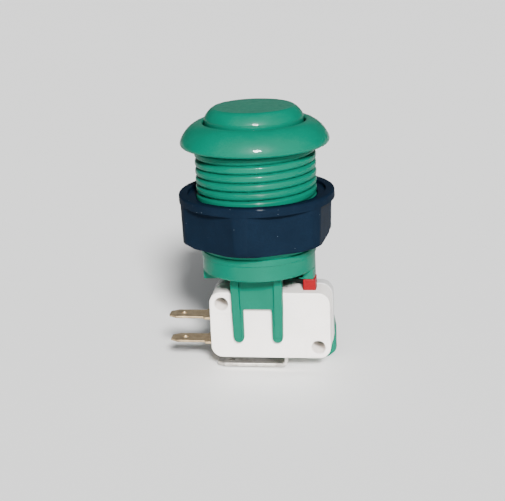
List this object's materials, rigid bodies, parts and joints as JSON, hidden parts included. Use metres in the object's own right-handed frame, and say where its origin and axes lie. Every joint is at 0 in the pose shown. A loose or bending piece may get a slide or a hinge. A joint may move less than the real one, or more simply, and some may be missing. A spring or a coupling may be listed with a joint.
{
  "type": "arcade push button",
  "caption": "Round panel-mounted arcade push button with a threaded barrel, a hexagonal panel nut and a snap-action switch clipped underneath.",
  "frame": {"origin": "on the barrel's axis, level with the bezel's underside, where the button seats on its panel", "axes": "+Z out of the panel towards the cap, +X along the switch from its side tabs towards its actuator, -Y towards the fork"},
  "size_m": [0.0394, 0.0352, 0.0619],
  "materials": {
    "green_plastic": "gloss moulded plastic",
    "nut_plastic": "satin dark navy moulded plastic",
    "switch_plastic": "matt white moulded plastic",
    "actuator_plastic": "matt red moulded plastic",
    "tab_brass": "rolled and stamped brass",
    "tinned_steel": "tinned strip",
    "spring_steel": "drawn spring wire",
    "contact_silver": "polished contact metal"
  },
  "bodies": {
    "barrel_body": {"housing": "green_plastic", "return_spring": "spring_steel", "switch_case": "switch_plastic", "switch_cover": "switch_plastic", "snap_spring": "spring_steel", "common_terminal": "tinned_steel", "normally_closed_terminal": "tab_brass", "normally_closed_contact": "contact_silver", "normally_open_terminal": "tab_brass", "normally_open_contact": "contact_silver"},
    "plunger_body": {"plunger": "green_plastic"},
    "nut_body": {"panel_nut": "nut_plastic"},
    "actuator_body": {"switch_actuator": "actuator_plastic"},
    "blade_body": {"contact_blade": "tab_brass", "moving_contact": "contact_silver"}
  },
  "joints": [
    {"name": "plunger_press", "type": "slide", "parent": "barrel_body", "child": "plunger_body", "axis": [0, 0, -1], "range_m": [0, 0.0022], "stiffness_N_per_m": 150, "springref_m": -0.006, "deforming": ["return_spring"]},
    {"name": "actuator_travel", "type": "slide", "parent": "barrel_body", "child": "actuator_body", "axis": [0, 0, -1], "range_m": [0, 0.0022], "deforming": ["snap_spring"]},
    {"name": "blade_snap", "type": "hinge", "parent": "barrel_body", "child": "blade_body", "pos_m": [0.0144, 0, -0.04345], "axis": [0, -1, 0], "range_deg": [0, 2.65]},
    {"name": "nut_travel", "type": "slide", "parent": "barrel_body", "child": "nut_body", "axis": [0, 0, 1], "range_m": [-0.0012, 0.01]}
  ],
  "couplings": [
    {"joint": "actuator_travel", "follows": "plunger_press", "ratio": 1},
    {"joint": "blade_snap", "follows": "plunger_press", "rad_per_m": 20.626}
  ]
}
